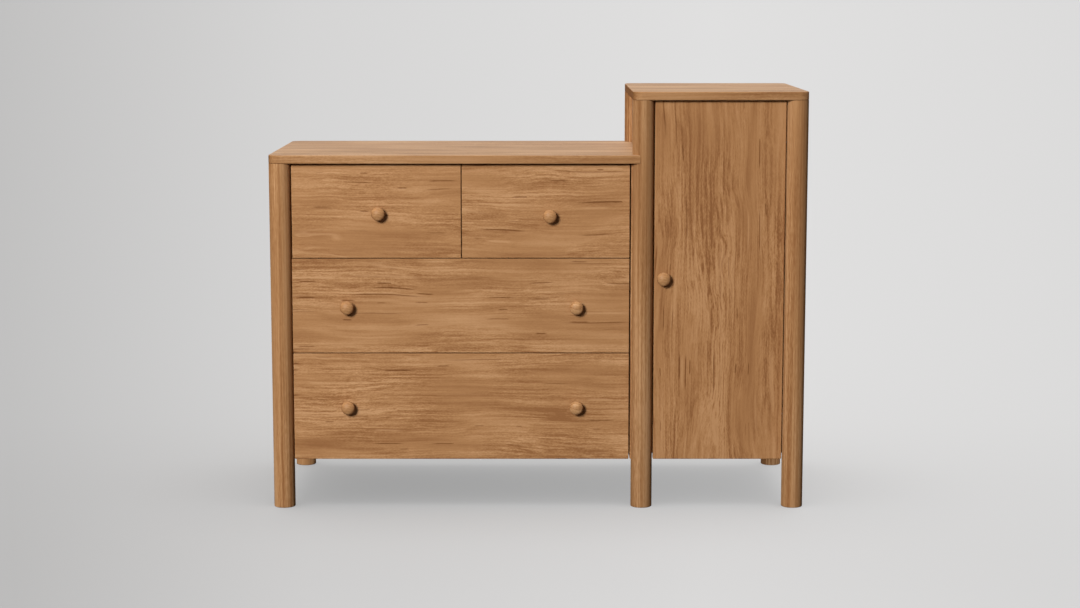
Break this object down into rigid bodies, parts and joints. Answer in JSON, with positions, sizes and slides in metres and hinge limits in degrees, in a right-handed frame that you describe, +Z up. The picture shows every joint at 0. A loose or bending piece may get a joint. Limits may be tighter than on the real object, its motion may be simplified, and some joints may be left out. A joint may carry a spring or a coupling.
{
  "type": "tall dresser",
  "caption": "Wooden dresser on round posts: a low chest with small drawers over wide drawers, joined to a taller cabinet with a hinged door and shelves; turned wooden knobs.",
  "frame": {"origin": "middle of the footprint on the floor, knobs included", "axes": "+X to the right along the width, +Y to the back, +Z up; the fronts face -Y"},
  "size_m": [1.25, 0.529, 0.978],
  "materials": {
    "oak": "satin oiled honey-brown oak",
    "drawer_box_wood": "plain pale hardwood",
    "panel_wood": "plain veneered board",
    "steel": "zinc-plated steel",
    "catch_plastic": "matt dark"
  },
  "bodies": {
    "case": {"front_post_left": "oak", "front_post_middle": "oak", "front_post_right": "oak", "rear_post_left": "oak", "rear_post_middle": "oak", "rear_post_right": "oak", "low_top": "oak", "tall_top": "oak", "left_side_panel": "oak", "chest_right_panel": "oak", "cabinet_left_panel": "oak", "right_side_panel": "oak", "chest_back": "panel_wood", "cabinet_back": "panel_wood", "chest_bottom": "panel_wood", "cabinet_bottom": "panel_wood", "drawer_shelf": "panel_wood", "drawer_divider": "panel_wood", "lower_shelf": "panel_wood", "upper_shelf": "panel_wood", "lower_hinge": "steel", "upper_hinge": "steel", "door_catch": "catch_plastic", "lower_drawer_left_runner": "drawer_box_wood", "lower_drawer_right_runner": "drawer_box_wood", "middle_drawer_left_runner": "drawer_box_wood", "middle_drawer_right_runner": "drawer_box_wood", "small_left_drawer_left_runner": "drawer_box_wood", "small_left_drawer_right_runner": "drawer_box_wood", "small_right_drawer_left_runner": "drawer_box_wood", "small_right_drawer_right_runner": "drawer_box_wood"},
    "lower_drawer": {"lower_drawer_front": "oak", "lower_drawer_left_side": "drawer_box_wood", "lower_drawer_right_side": "drawer_box_wood", "lower_drawer_back": "drawer_box_wood", "lower_drawer_bottom": "panel_wood", "lower_drawer_left_knob": "oak", "lower_drawer_right_knob": "oak"},
    "middle_drawer": {"middle_drawer_front": "oak", "middle_drawer_left_side": "drawer_box_wood", "middle_drawer_right_side": "drawer_box_wood", "middle_drawer_back": "drawer_box_wood", "middle_drawer_bottom": "panel_wood", "middle_drawer_left_knob": "oak", "middle_drawer_right_knob": "oak"},
    "small_left_drawer": {"small_left_drawer_front": "oak", "small_left_drawer_left_side": "drawer_box_wood", "small_left_drawer_right_side": "drawer_box_wood", "small_left_drawer_back": "drawer_box_wood", "small_left_drawer_bottom": "panel_wood", "small_left_drawer_knob": "oak"},
    "small_right_drawer": {"small_right_drawer_front": "oak", "small_right_drawer_left_side": "drawer_box_wood", "small_right_drawer_right_side": "drawer_box_wood", "small_right_drawer_back": "drawer_box_wood", "small_right_drawer_bottom": "panel_wood", "small_right_drawer_knob": "oak"},
    "door": {"door_panel": "oak", "door_knob": "oak", "door_strike": "steel"}
  },
  "joints": [
    {"name": "lower_drawer_slide", "type": "slide", "parent": "case", "child": "lower_drawer", "axis": [0, -1, 0], "range_m": [0, 0.32]},
    {"name": "middle_drawer_slide", "type": "slide", "parent": "case", "child": "middle_drawer", "axis": [0, -1, 0], "range_m": [0, 0.32]},
    {"name": "small_left_drawer_slide", "type": "slide", "parent": "case", "child": "small_left_drawer", "axis": [0, -1, 0], "range_m": [0, 0.32]},
    {"name": "small_right_drawer_slide", "type": "slide", "parent": "case", "child": "small_right_drawer", "axis": [0, -1, 0], "range_m": [0, 0.32]},
    {"name": "door_hinge", "type": "hinge", "parent": "case", "child": "door", "pos_m": [0.5532, -0.23, 0.5352], "axis": [0, 0, 1], "range_deg": [0, 90]}
  ]
}
